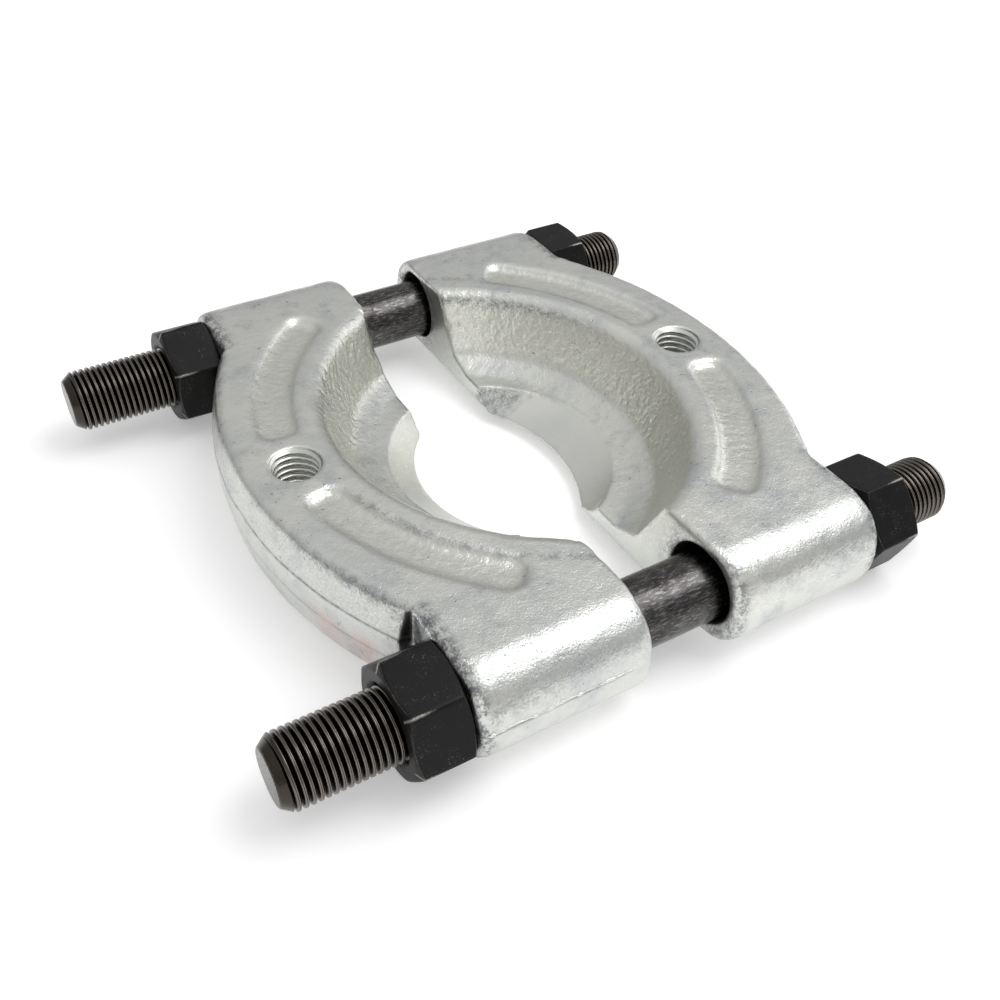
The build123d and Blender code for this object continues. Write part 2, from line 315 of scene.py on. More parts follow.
def forging(node, turn):
    """The jaw's CAD shape in a fine even mesh, its forged edges relaxed and its skin made uneven:
    each point moves along its normal by waves whose depth depends on where it is. At the end the
    faces that are plain or out of sight are thinned."""
    piece = new_object(node + "_fine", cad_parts[node].data.copy())
    merge = piece.modifiers.new("merge", "WELD")
    merge.merge_threshold = JAW_MERGE
    remesh = piece.modifiers.new("fine", "REMESH")
    remesh.mode = "VOXEL"
    remesh.voxel_size = JAW_VOXEL
    fine = modified_mesh(piece)
    points = read_array(fine.vertices, "co", 3)
    edges = read_array(fine.edges, "vertices", 2, np.int32)
    split = SPLIT_X[node]

    # Forged edges: the lugs' ends, the pockets, the rim, and the recess's shoulder, foot and floor
    u, v, z = own_frame(points, turn)
    side = abs(v)
    from_recess = np.hypot(u - RECESS_X, v - RECESS_Y)
    outside = fade(side, STUD_Y + 1 * MM, STUD_Y + 6 * MM)
    split_end = 1 - fade(u, split + 1.5 * MM, split + 4 * MM)
    seat_end = fade(u, SEAT_X - 4 * MM, SEAT_X - 1.5 * MM)
    upper = upper_edge(z)
    off_hole = 1 - bell(np.hypot(u - TAP_X, v), 0, TAP_RADIUS + 2 * MM)
    from_pocket = np.hypot(u - POCKET_X, v)
    pocket = fade(from_pocket, POCKET_INNER - 3 * MM, POCKET_INNER - 1 * MM) * upper * off_hole
    pocket *= 1 - fade(from_pocket, POCKET_OUTER + 1 * MM, POCKET_OUTER + 3 * MM)
    pocket *= fade(side, 6 * MM, 8 * MM) * (1 - fade(side, 58 * MM, 61 * MM))
    foot = bell(z, FOOT_Z, 2.5 * MM) * bell(from_recess, recess_wall(z), 6 * MM)
    ramp = bell(z, FLOOR_Z + 0.5 * MM, 1.2 * MM) * bell(from_recess, 45 * MM, 7 * MM)
    off_bevel = fade(np.hypot(u - LIP_X, v), LIP_RADIUS + 0.8 * MM, LIP_RADIUS + 3 * MM)
    shoulder = upper * bell(from_recess, RECESS_RADIUS, 1.8 * MM)
    from_rim = np.hypot(u - RIM_X, v)
    rim = fade(from_rim, RIM_RADIUS - 5 * MM, RIM_RADIUS - 3 * MM) * upper
    rim *= 1 - fade(side, 50 * MM, 52 * MM)
    behind = fade(u, split + 0.5 * MM, split + 4 * MM)
    soft = [0.9 * split_end * outside, 0.9 * seat_end * outside, 0.6 * pocket, 0.7 * rim]
    soft += [0.6 * shoulder * behind, foot * off_bevel * behind, ramp * off_bevel * behind]
    points = relaxed(points, edges, np.full(len(points), EVEN_WEIGHT), EVEN_ROUNDS)
    points = relaxed(points, edges, EDGE_WEIGHT * np.max(soft, axis=0), EDGE_ROUNDS)

    # The milled bevel, a cone between the lip's circle and the bore's land, is put back exactly
    u, v, z = own_frame(points, turn)
    sunk = np.clip((FLOOR_Z - z) / (FLOOR_Z - LIP_LAND), 0, 1)
    axis_x = LIP_X + sunk * (BORE_X[node] - LIP_X)
    away = np.stack([u - axis_x, v], axis=1)
    reach = np.linalg.norm(away, axis=1)
    short = LIP_RADIUS + sunk * (BORE_RADIUS[node] - LIP_RADIUS) - reach
    on_bevel = (np.abs(short) < BEVEL_CATCH) & (z < FLOOR_Z + 0.1 * MM) & (u > split + 0.1 * MM)
    points[:, :2] += away * (short * on_bevel / reach)[:, None] * turn

    # Worn tips where the recess meets the split: a soft least of the depths behind both faces
    softness = TIP_SOFTNESS[node]
    u, v, z = own_frame(points, turn)
    away = np.stack([u - RECESS_X, v - RECESS_Y], axis=1)
    reach = np.linalg.norm(away, axis=1)
    behind_split = u - split
    behind_wall = reach - RECESS_RADIUS + (JAW_TOP - z) * RECESS_SLOPE
    lead = np.clip((behind_split - behind_wall) / softness, -TIP_LEAD_LIMIT, TIP_LEAD_LIMIT)
    cut = softness * np.log1p(np.exp(-np.abs(lead)))
    cut *= 1 - fade(np.minimum(behind_split, behind_wall), 0, 6 * MM)
    cut *= fade(z, 9 * MM, 15 * MM) * fade(abs(v), 40 * MM, 46 * MM)
    share = 1 / (1 + np.exp(lead))
    direction = (1 - share)[:, None] * away / reach[:, None]
    direction[:, 0] += share
    direction *= (cut / (direction**2).sum(axis=1))[:, None]
    points[:, :2] += direction * turn

    # The skin's unevenness, none on milled faces and a small step along each line
    fine.vertices.foreach_set("co", points.astype(np.float32).ravel())
    fine.update()
    normals = read_array(fine.vertices, "normal", 3)
    shares = finishes(node, turn, points)
    skin = sum(depth * waves(points, length, seed) for depth, length, seed in SKIN_WAVES)
    skin += shares["yellow"] * sum(
        depth * waves(points, length, seed) for depth, length, seed in YELLOW_SKIN_WAVES)
    skin = np.minimum(skin, SKIN_TOP) * (1 - shares["milled"]) * fade(points[:, 2], 0.2 * MM, 0.6 * MM)
    points = points + normals * ((skin - STEP_LINE_DEPTH * shares["step_line"]) * MM)[:, None]
    points[:, 2] = np.clip(points[:, 2], 0, JAW_TOP)

    # The underside and the stud holes are thinned, so that the rest can stay fine
    fine.vertices.foreach_set("co", points.astype(np.float32).ravel())
    piece = new_object(node + "_thinned", fine)
    from_stud = np.hypot(abs(points[:, 1]) - STUD_Y, points[:, 2] - HOLE_Z)
    plain = (points[:, 2] < 0.02 * MM) | (from_stud < HOLE_RADIUS + 0.3 * MM)
    group = piece.vertex_groups.new(name="plain")
    group.add(np.flatnonzero(plain).tolist(), PLAIN_WEIGHT, "REPLACE")
    group.add(np.flatnonzero(~plain).tolist(), OTHER_WEIGHT, "REPLACE")
    thin = piece.modifiers.new("thin", "DECIMATE")
    thin.ratio = JAW_TRIANGLES / (2 * len(fine.polygons))
    thin.vertex_group = group.name
    thin.vertex_group_factor = THINNING_BIAS
    thin.use_collapse_triangulate = True
    thinned = modified_mesh(piece)
    points = read_array(thinned.vertices, "co", 3)
    triangles = read_array(thinned.loops, "vertex_index", 1, np.int32).reshape(-1, 3)
    return points, triangles, finishes(node, turn, points)


def tapped_thread(turn):
    """A ring in the tapped hole. Its inner radius over (z, angle) is the thread's root less its
    depth times a blunt triangle wave of z/pitch - angle/turn, opened by a cone at both ends. Its
    outer radius lies inside the jaw's metal."""
    z = np.linspace(TAP_MARGIN, JAW_TOP - TAP_MARGIN, TAP_ROWS)
    angle = np.linspace(0, 2 * np.pi, TAP_SIDES, endpoint=False)
    z_grid, angle_grid = np.meshgrid(z, angle, indexing="ij")
    phase = (z_grid / TAP_PITCH - angle_grid / (2 * np.pi)) % 1
    from_root = np.abs(2 * phase - 1)
    inner = TAP_ROOT - (TAP_ROOT - TAP_CREST) * fade(from_root, 0.12, 0.85)
    from_end = np.minimum(z_grid - z[0], z[-1] - z_grid)
    inner = np.maximum(inner, TAP_RADIUS + 0.1 * MM - TAP_CONE_SLOPE * from_end)
    outer = np.full((2, TAP_SIDES), TAP_RADIUS + TAP_WALL)
    radius = np.concatenate([inner, outer])
    height = np.concatenate([z_grid, np.full((1, TAP_SIDES), z[-1]), np.full((1, TAP_SIDES), z[0])])
    x = turn * TAP_X + radius * np.cos(angle)
    rings = np.stack([x, radius * np.sin(angle), height], axis=-1)
    quads = grid_quads(len(radius), TAP_SIDES, closed_rows=True)[:, ::-1]
    # The roots go into the step lines' attribute, which paints them darker: painted shade in the thread's
    # grooves
    roots = np.concatenate([1 - fade(from_root, 0.1, 0.45), 0 * outer])
    return rings.reshape(-1, 3), quads, {"milled": 1.0, "step_line": roots.ravel()}


def trimmed_flash(node, turn, side):
    """A bead half sunk in the lug's side. Its radius over (length, angle) is the flash's height
    times a ragged wave of the length, drawn out to nothing at both ends, which are closed."""
    start, stop = SPLIT_X[node] + 4 * MM, SEAT_X - 1.2 * MM
    s = np.linspace(start, stop, FLASH_ROWS)

    # Each of the four lines has its own place in the waves
    line = np.stack([s, np.full_like(s, side * 0.1), np.full_like(s, turn * 0.1)], axis=1)
    ragged = 0.6 + 0.35 * waves(line, 1.6 * MM, 21) + 0.25 * waves(line, 6 * MM, 31)
    ragged = np.clip(ragged, 0.5, 1.2) * fade(s, start, start + 3 * MM) * (1 - fade(s, stop - 1 * MM, stop))
    height = np.maximum(FLASH_HEIGHT[node] * ragged, 0.001 * MM)[:, None]
    middle = FLASH_Z + 0.12 * MM * waves(line, 9 * MM, 41)[:, None]
    angle = np.linspace(0, 2 * np.pi, FLASH_SIDES, endpoint=False)
    x = np.broadcast_to(turn * s[:, None], (FLASH_ROWS, FLASH_SIDES))
    y = side * (SIDE_Y - FLASH_SUNK + 0.8 * height * np.cos(angle))
    rings = np.stack([x, y, middle + height * np.sin(angle)], axis=-1)

    # Three quads close the ring of eight at each end
    cap = np.array([[3, 2, 1, 0], [4, 3, 0, 7], [7, 6, 5, 4]])
    far_cap = cap[:, ::-1] + (FLASH_ROWS - 1) * FLASH_SIDES
    quads = np.concatenate([grid_quads(FLASH_ROWS, FLASH_SIDES), cap, far_cap])
    return rings.reshape(-1, 3), quads[:, ::side * turn], {"flash": 1.0}


def linear(hex_code):
    """Linear colour of an sRGB hex code."""
    channels = [int(hex_code[i:i + 2], 16) / 255 for i in (1, 3, 5)]
    return [c / 12.92 if c <= 0.04045 else ((c + 0.055) / 1.055) ** 2.4 for c in channels] + [1.0]


def add(tree, kind, settings=None, inputs=None, output=0):
    """Adds one node with its settings, sets or links its inputs, and gives back one output."""
    node = tree.nodes.new(kind)
    for name, value in (settings or {}).items():
        setattr(node, name, value)
    for socket, value in (inputs or {}).items():
        if isinstance(value, bpy.types.NodeSocket):
            tree.links.new(value, node.inputs[socket])
        else:
            node.inputs[socket].default_value = value
    return node.outputs[output] if node.outputs else None


def new_material(name):
    """A material and its empty node tree."""
    material = bpy.data.materials.new(name)
    material.use_nodes = True
    material.node_tree.nodes.clear()
    return material, material.node_tree


def zinc_plated_forging():
    """Electroplated zinc over forged steel: a bright satin grey with faint yellow and blue tints.
    It sparkles where the pitted steel under it is uneven, and is plain where it was milled."""
    material, tree = new_material("zinc_plated_forging")
    place = add(tree, "ShaderNodeTexCoord", output="Object")
    yellow, milled, step_line, grimy, grainy, pink, flash = (
        add(tree, "ShaderNodeAttribute", {"attribute_name": name}, output="Fac")
        for name in ("yellow", "milled", "step_line", "grimy", "grainy", "pink", "flash"))
    grain = add(tree, "ShaderNodeTexNoise", None, {
        "Vector": place, "Scale": 1 / (0.5 * MM), "Roughness": 0.6})
    hammer = add(tree, "ShaderNodeTexNoise", None, {"Vector": place, "Scale": 1 / (1.9 * MM)})
    patch = add(tree, "ShaderNodeTexNoise", None, {
        "Vector": place, "Scale": 1 / (7 * MM), "Detail": 4.0, "Roughness": 0.6})
    cloud = add(tree, "ShaderNodeTexNoise", None, {"Vector": place, "Scale": 1 / (22 * MM), "Detail": 3.0})
    pit = add(tree, "ShaderNodeTexNoise", None, {"Vector": place, "Scale": 1 / (0.9 * MM), "Detail": 1.0})
    forged = add(tree, "ShaderNodeMath", {"operation": "SUBTRACT"}, {0: 1.0, 1: milled})

    # Colour: clouds, bluish stains, the yellower recess, pits, grime with painted shade and a painted dark
    # reflection, step lines with painted shade, and the flash lighter as a painted highlight
    cloudy = add(tree, "ShaderNodeMapRange", None, {"Value": cloud, "From Min": 0.35, "From Max": 0.65})
    tone = add(tree, "ShaderNodeMix", {"data_type": "RGBA"}, {
        "Factor": cloudy, "A": linear("#d2d4d1"), "B": linear("#dedfd9")}, "Result")
    stain = add(tree, "ShaderNodeMapRange", None, {
        "Value": patch, "From Min": 0.5, "From Max": 0.7, "To Max": 0.7})
    stain = add(tree, "ShaderNodeMath", {"operation": "MULTIPLY"}, {0: stain, 1: forged})
    tone = add(tree, "ShaderNodeMix", {"data_type": "RGBA"}, {
        "Factor": stain, "A": tone, "B": linear("#bcbfc2")}, "Result")
    tone = add(tree, "ShaderNodeMix", {"data_type": "RGBA"}, {
        "Factor": yellow, "A": tone, "B": linear("#dcdcd3")}, "Result")
    mottle = add(tree, "ShaderNodeMapRange", None, {
        "Value": grain, "From Min": 0.4, "From Max": 0.62, "To Max": 0.35})
    mottle = add(tree, "ShaderNodeMath", {"operation": "MULTIPLY"}, {0: mottle, 1: grainy})
    tone = add(tree, "ShaderNodeMix", {"data_type": "RGBA"}, {
        "Factor": mottle, "A": tone, "B": linear("#aeb0aa")}, "Result")
    pits = add(tree, "ShaderNodeMapRange", None, {"Value": pit, "From Min": 0.68, "From Max": 0.75})
    some = add(tree, "ShaderNodeMapRange", None, {
        "Value": patch, "From Min": 0.46, "From Max": 0.6, "To Max": 0.8})
    pits = add(tree, "ShaderNodeMath", {"operation": "MULTIPLY"}, {0: pits, 1: some})
    pits = add(tree, "ShaderNodeMath", {"operation": "MULTIPLY"}, {0: pits, 1: forged})
    tone = add(tree, "ShaderNodeMix", {"data_type": "RGBA"}, {
        "Factor": pits, "A": tone, "B": linear("#8a8c8b")}, "Result")
    ragged = add(tree, "ShaderNodeMath", {"operation": "ADD"}, {0: grain, 1: hammer})
    ragged = add(tree, "ShaderNodeMapRange", None, {
        "Value": ragged, "From Min": 0.88, "From Max": 1.16, "To Min": 0.1})
    # Grime, painted shade beside the seats and a painted dark reflection on the shoulders darken the colour
    smudge_and_shade = add(tree, "ShaderNodeMath", {"operation": "MULTIPLY"}, {0: grimy, 1: ragged})
    tone = add(tree, "ShaderNodeMix", {"data_type": "RGBA"}, {
        "Factor": smudge_and_shade, "A": tone, "B": linear("#6a6d72")}, "Result")
    broken = add(tree, "ShaderNodeMapRange", None, {
        "Value": hammer, "From Min": 0.35, "From Max": 0.6, "To Min": 0.5})
    # Step lines, and painted shade under the flash and in the tapped thread's roots, darken the colour
    line_shade = add(tree, "ShaderNodeMath", {"operation": "MULTIPLY"}, {0: step_line, 1: broken})
    tone = add(tree, "ShaderNodeMix", {"data_type": "RGBA"}, {
        "Factor": line_shade, "A": tone, "B": linear("#6d6f69")}, "Result")
    # The flash is painted lighter: a painted highlight along its ridge
    tone = add(tree, "ShaderNodeMix", {"data_type": "RGBA"}, {
        "Factor": flash, "A": tone, "B": linear("#eceae4")}, "Result")
    smear = add(tree, "ShaderNodeMath", {"operation": "MULTIPLY"}, {0: pink, 1: broken})
    smear = add(tree, "ShaderNodeMath", {"operation": "MULTIPLY"}, {0: smear, 1: 0.5})
    tone = add(tree, "ShaderNodeMix", {"data_type": "RGBA"}, {
        "Factor": smear, "A": tone, "B": linear("#dcb3ad")}, "Result")

    # Roughness and bump: fine grain over hammered waves, coarser where yellow, sunk pits
    rough = add(tree, "ShaderNodeMapRange", None, {
        "Value": grain, "From Min": 0.3, "From Max": 0.7, "To Min": 0.26, "To Max": 0.44})
    height = add(tree, "ShaderNodeMath", {"operation": "MULTIPLY_ADD"}, {0: grain, 1: 0.8, 2: hammer})
    coarse = add(tree, "ShaderNodeMath", {"operation": "MULTIPLY"}, {0: pit, 1: yellow})
    height = add(tree, "ShaderNodeMath", {"operation": "ADD"}, {0: coarse, 1: height})
    height = add(tree, "ShaderNodeMath", {"operation": "MULTIPLY_ADD"}, {0: pits, 1: -0.6, 2: height})
    uneven = add(tree, "ShaderNodeMapRange", None, {"Value": milled, "To Min": 1.0, "To Max": 0.15})
    normal = add(tree, "ShaderNodeBump", None, {
        "Distance": 0.12 * MM, "Height": height, "Strength": uneven})
    surface = add(tree, "ShaderNodeBsdfPrincipled", None, {
        "Metallic": 1.0, "Base Color": tone, "Roughness": rough, "Normal": normal})
    add(tree, "ShaderNodeOutputMaterial", None, {"Surface": surface})
    return material


zinc = zinc_plated_forging()
for node, (body, turn) in JAW_NODES.items():
    parts = [forging(node, turn), tapped_thread(turn)]
    parts += [trimmed_flash(node, turn, side) for side in (-1, 1)]
    jaw = new_object(node + "_forging", smooth_mesh(node + "_forging", parts))
    jaw.data.materials.append(zinc)
    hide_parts(node)
    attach(jaw, body)

# Studs: dark heat-treated steel rods with a rolled fine thread at both ends and a plain ground
# shank between. Rolling leaves round polished crests; their roots are painted near black, as shade. They
# lie loose in the lugs.

STUD_NODES = {"stud_front": "front_stud", "stud_back": "back_stud"}
THREAD_PITCH = 1.5 * MM
THREAD_DEPTH = 0.92 * MM
THREAD_RADIUS = 7.95 * MM
SHANK_RADIUS = (stud_high[2] - stud_low[2]) / 2
LONG_THREAD = 65.0 * MM
SHORT_THREAD = 30.3 * MM
THREAD_RUNOUT = 3.0 * MM
SEAM_DEPTH = 0.06 * MM
END_CHAMFER_LENGTH = 2.7 * MM
END_CHAMFER_DEPTH = 1.95 * MM
END_EDGE_ROUND = 0.25 * MM
CREST_BREADTH = 2.2
ROWS_PER_PITCH = 20
SHANK_ROWS = 30
STUD_SIDES = 56


def threaded_stud(node):
    """Radius over (s, angle): the thread's outer radius less its depth times a wave of s/pitch -
    angle/turn with broad round crests, each with the shallow seam that rolling leaves on it. It
    is faded into the plain shank and out at the ends, where a cone cuts it."""
    low, high = (np.array(corner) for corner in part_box(node))
    length = high[0] - low[0]

    # Rows lie close together at the ends, evenly along the threads and far apart on the shank
    step = THREAD_PITCH / ROWS_PER_PITCH
    ends = np.array([0, 0.04, 0.1, 0.18]) * MM
    s = np.concatenate([
        ends, np.arange(0.25 * MM, LONG_THREAD, step),
        np.linspace(LONG_THREAD, length - SHORT_THREAD, SHANK_ROWS),
        np.arange(length - SHORT_THREAD + step, length - 0.25 * MM, step), length - ends[::-1]])
    angle = np.linspace(0, 2 * np.pi, STUD_SIDES, endpoint=False)
    s_grid, angle_grid = np.meshgrid(s, angle, indexing="ij")

    # The thread, its run-outs and the end cones
    wave = 0.5 - 0.5 * np.cos(2 * np.pi * (s_grid / THREAD_PITCH - angle_grid / (2 * np.pi)))
    crest = 1 - (1 - wave) ** CREST_BREADTH
    seam = fade(wave, 0.955, 1.0)
    plain = fade(s_grid, LONG_THREAD - THREAD_RUNOUT, LONG_THREAD)
    plain *= 1 - fade(s_grid, length - SHORT_THREAD, length - SHORT_THREAD + THREAD_RUNOUT)
    from_end = np.minimum(s_grid, length - s_grid)
    cutting = (1 - plain) * fade(from_end, 0.4 * MM, 2.4 * MM)
    radius = THREAD_RADIUS - (THREAD_DEPTH * (1 - crest) + SEAM_DEPTH * seam) * cutting
    radius += plain * (SHANK_RADIUS - THREAD_RADIUS)
    cone = THREAD_RADIUS - END_CHAMFER_DEPTH + from_end * END_CHAMFER_DEPTH / END_CHAMFER_LENGTH
    cone -= END_EDGE_ROUND * (1 - fade(from_end, 0, 0.3 * MM)) ** 2
    on_cone = fade(radius - cone, -0.05 * MM, 0.15 * MM)
    radius = np.minimum(radius, cone)
    middle = (low + high) / 2
    y = middle[1] + radius * np.cos(angle_grid)
    rings = np.stack([low[0] + s_grid, y, middle[2] + radius * np.sin(angle_grid)], axis=-1)

    # Each end face is rings that shrink to a small one, closed by a strip of quads
    shares = np.array([0.002, 0.5, 0.93, 0.985])[:, None, None]
    first, last = rings[0].mean(axis=0), rings[-1].mean(axis=0)
    rings = np.concatenate([
        first + (rings[0] - first) * shares, rings, last + (rings[-1] - last) * shares[::-1]])
    half = np.arange(STUD_SIDES // 2 - 1)
    disc = np.stack([half, half + 1, STUD_SIDES - 2 - half, STUD_SIDES - 1 - half], axis=1)
    quads = np.concatenate([
        grid_quads(len(rings), STUD_SIDES), disc[:, ::-1], disc + (len(rings) - 1) * STUD_SIDES])
    face_rows = ((len(shares), len(shares)), (0, 0))
    # The crest share darkens the roots and, a little, the seams in the material: painted shade in the
    # grooves
    attributes = {
        "crest": np.pad((1 - (1 - crest) * cutting) * (1 - 0.5 * seam), face_rows).ravel(),
        "shank": np.pad(plain, face_rows).ravel(),
        "end": np.pad(0.5 * on_cone * (1 - plain), face_rows, constant_values=1.0).ravel(),
    }
    return smooth_mesh(node + "_threaded", [(rings.reshape(-1, 3), quads, attributes)])


def new_piece(name, mesh, material, body, node):
    """An object of the mesh that takes the node's place and rides on the body."""
    piece = new_object(name, mesh)
    mesh.materials.append(material)
    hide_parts(node)
    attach(piece, body)


def dark_rolled_steel():
    """Bare dark steel: crests rolled smooth and bright over near-black roots, which are painted shade,
    and a scuffed shank with faint brown and violet temper tints."""
    material, tree = new_material("dark_rolled_steel")
    place = add(tree, "ShaderNodeTexCoord", output="Object")
    crest, shank, end = (
        add(tree, "ShaderNodeAttribute", {"attribute_name": name}, output="Fac")
        for name in ("crest", "shank", "end"))

    # Colour: thread with its roots painted near black as shade, shank with temper tints and scuffs along
    # it, end cones and end faces
    drawn = add(tree, "ShaderNodeMapping", None, {"Vector": place, "Scale": (0.25, 1, 1)})
    scuff = add(tree, "ShaderNodeTexNoise", None, {
        "Vector": drawn, "Scale": 1 / (0.5 * MM), "Detail": 3.0, "Roughness": 0.7})
    patch = add(tree, "ShaderNodeTexNoise", None, {
        "Vector": place, "Scale": 1 / (4 * MM), "Detail": 3.0, "Roughness": 0.6})
    polish_and_root_shade = add(tree, "ShaderNodeMapRange", None, {
        "Value": crest, "From Min": 0.45, "From Max": 1.0})
    thread = add(tree, "ShaderNodeMix", {"data_type": "RGBA"}, {
        "Factor": polish_and_root_shade, "A": linear("#0c0b0a"), "B": linear("#7a736c")}, "Result")
    temper = add(tree, "ShaderNodeMapRange", None, {"Value": patch, "From Min": 0.35, "From Max": 0.65})
    plain = add(tree, "ShaderNodeMix", {"data_type": "RGBA"}, {
        "Factor": temper, "A": linear("#393736"), "B": linear("#545353")}, "Result")
    rubbed = add(tree, "ShaderNodeMapRange", None, {
        "Value": scuff, "From Min": 0.5, "From Max": 0.66, "To Max": 0.9})
    plain = add(tree, "ShaderNodeMix", {"data_type": "RGBA"}, {
        "Factor": rubbed, "A": plain, "B": linear("#807d7b")}, "Result")
    tone = add(tree, "ShaderNodeMix", {"data_type": "RGBA"}, {
        "Factor": shank, "A": thread, "B": plain}, "Result")
    cone = add(tree, "ShaderNodeMapRange", None, {"Value": end, "From Max": 0.5})
    tone = add(tree, "ShaderNodeMix", {"data_type": "RGBA"}, {
        "Factor": cone, "A": tone, "B": linear("#433f3a")}, "Result")
    face = add(tree, "ShaderNodeMapRange", None, {"Value": end, "From Min": 0.5, "From Max": 1.0})
    tone = add(tree, "ShaderNodeMix", {"data_type": "RGBA"}, {
        "Factor": face, "A": tone, "B": linear("#2b2826")}, "Result")
    rough = add(tree, "ShaderNodeMapRange", None, {
        "Value": scuff, "From Min": 0.3, "From Max": 0.7, "To Min": 0.13, "To Max": 0.33})
    height = add(tree, "ShaderNodeMath", {"operation": "MULTIPLY_ADD"}, {0: patch, 1: 0.5, 2: scuff})
    normal = add(tree, "ShaderNodeBump", None, {"Strength": 0.6, "Distance": 0.05 * MM, "Height": height})
    surface = add(tree, "ShaderNodeBsdfPrincipled", None, {
        "Metallic": 1.0, "Base Color": tone, "Roughness": rough, "Normal": normal})
    add(tree, "ShaderNodeOutputMaterial", None, {"Surface": surface})
    return material


stud_steel = dark_rolled_steel()
for node, body in STUD_NODES.items():
    new_piece(node + "_threaded", threaded_stud(node), stud_steel, body, node)

# Hexagon nuts: cold forged, turned to a chamfer on both faces and black oxidised. Handling wears
# the oxide off the corners, which also carry a painted highlight, and specks of the bright steel show on
# the flats.

NUT_BODIES = {
    "nut_right_front": "right_front_nut", "nut_right_back": "right_back_nut",
    "nut_left_front": "left_front_nut", "nut_left_back": "left_back_nut",
}

# How far each nut is turned about its own axis, in degrees
NUT_ANGLES = {
    "nut_right_front": 51.0, "nut_right_back": 2.6, "nut_left_front": 10.0, "nut_left_back": 30.0,
}
NUT_FLAT = 12.0 * MM
NUT_FACE_RADIUS = 11.6 * MM
NUT_BORE_RADIUS = 8.0 * MM
NUT_COUNTERSINK = 1.1 * MM
NUT_CROWN_SLOPE = np.tan(np.radians(25))
NUT_EDGE_SOFTNESS = 0.22 * MM
NUT_EDGE_BAND = 1.25 * MM
NUT_BAND_ROWS, NUT_MIDDLE_ROWS = 22, 12
STEPS_PER_FLAT = 32


def soft_least(*values):
    """The least of several lengths, rounded where two are nearly the same."""
    total = sum(np.exp(-(value - values[0]) / NUT_EDGE_SOFTNESS) for value in values)
    return values[0] - NUT_EDGE_SOFTNESS * np.log(total)


def hex_nut(node):
    """Outer radius over (z, angle): the soft least of the distances to the two nearest flats and
    of the two chamfer cones. Flat faces, countersinks and the bore close the ring of rings."""
    low, high = (np.array(corner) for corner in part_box(node))
    height = high[0] - low[0]

    # Steps are finer towards the corners, and rows towards the two faces
    steps = np.sin(np.linspace(-np.pi / 2, np.pi / 2, STEPS_PER_FLAT + 1)[:-1])
    offsets = np.arctan(steps * np.tan(np.radians(30)))
    local = np.tile(offsets, 6)
    flat_angles = np.arange(6)[:, None] * np.pi / 3
    angle = (flat_angles + offsets[None]).ravel() + np.radians(NUT_ANGLES[node] + 30)
    band = np.linspace(0, NUT_EDGE_BAND, NUT_BAND_ROWS)
    between = np.linspace(NUT_EDGE_BAND, height - NUT_EDGE_BAND, NUT_MIDDLE_ROWS)[1:-1]
    z = np.concatenate([band, between, height - band[::-1]])
    z_grid, local_grid = np.meshgrid(z, local, indexing="ij")
    flat = NUT_FLAT / np.cos(local_grid)
    beside = NUT_FLAT / np.cos(np.pi / 3 - np.abs(local_grid))
    lower = NUT_FACE_RADIUS + z_grid / NUT_CROWN_SLOPE
    upper = NUT_FACE_RADIUS + (height - z_grid) / NUT_CROWN_SLOPE
    outer = soft_least(flat, beside, lower, upper)

    # Wear where the chamfers cut the flats; on the corners wear and a painted highlight, most of all away
    # from the jaw
    on_arc = bell(np.minimum(lower, upper) - flat, 0, 0.25 * MM)
    outward_glint = 0.35 + 0.65 * fade(z_grid, height - 8 * MM, height - 2 * MM)
    wear = np.maximum(outward_glint * bell(beside - flat, 0, 0.5 * MM), 0.62 * on_arc)

    # Outer face, countersink and bore, and the same mirrored for the face at the jaw
    mouth = NUT_BORE_RADIUS + NUT_COUNTERSINK
    rows = [
        (height, NUT_FACE_RADIUS - 0.4 * MM), (height, mouth + 0.2 * MM), (height, mouth),
        (height - NUT_COUNTERSINK, NUT_BORE_RADIUS)]
    mirrored_rows = [(height - z_row, r_row) for z_row, r_row in reversed(rows)]
    rows += [(height / 2, NUT_BORE_RADIUS)] + mirrored_rows
    all_z = np.concatenate([z_grid, np.array([z_row for z_row, _ in rows])[:, None] + 0 * local])
    all_r = np.concatenate([outer, np.array([r_row for _, r_row in rows])[:, None] + 0 * local])
    on_right = low[0] > 0
    x = low[0] + all_z if on_right else high[0] - all_z
    axis_y = np.sign(low[1] + high[1]) * STUD_Y
    axis_z = (stud_low[2] + stud_high[2]) / 2
    rings = np.stack([x, axis_y + all_r * np.cos(angle), axis_z + all_r * np.sin(angle)], axis=-1)
    quads = grid_quads(len(all_z), len(angle), closed_rows=True)[:, ::1 if on_right else -1]
    wear = np.pad(wear, ((0, len(rows)), (0, 0))).ravel()
    return smooth_mesh(node + "_hexagon", [(rings.reshape(-1, 3), quads, {"wear": wear})])


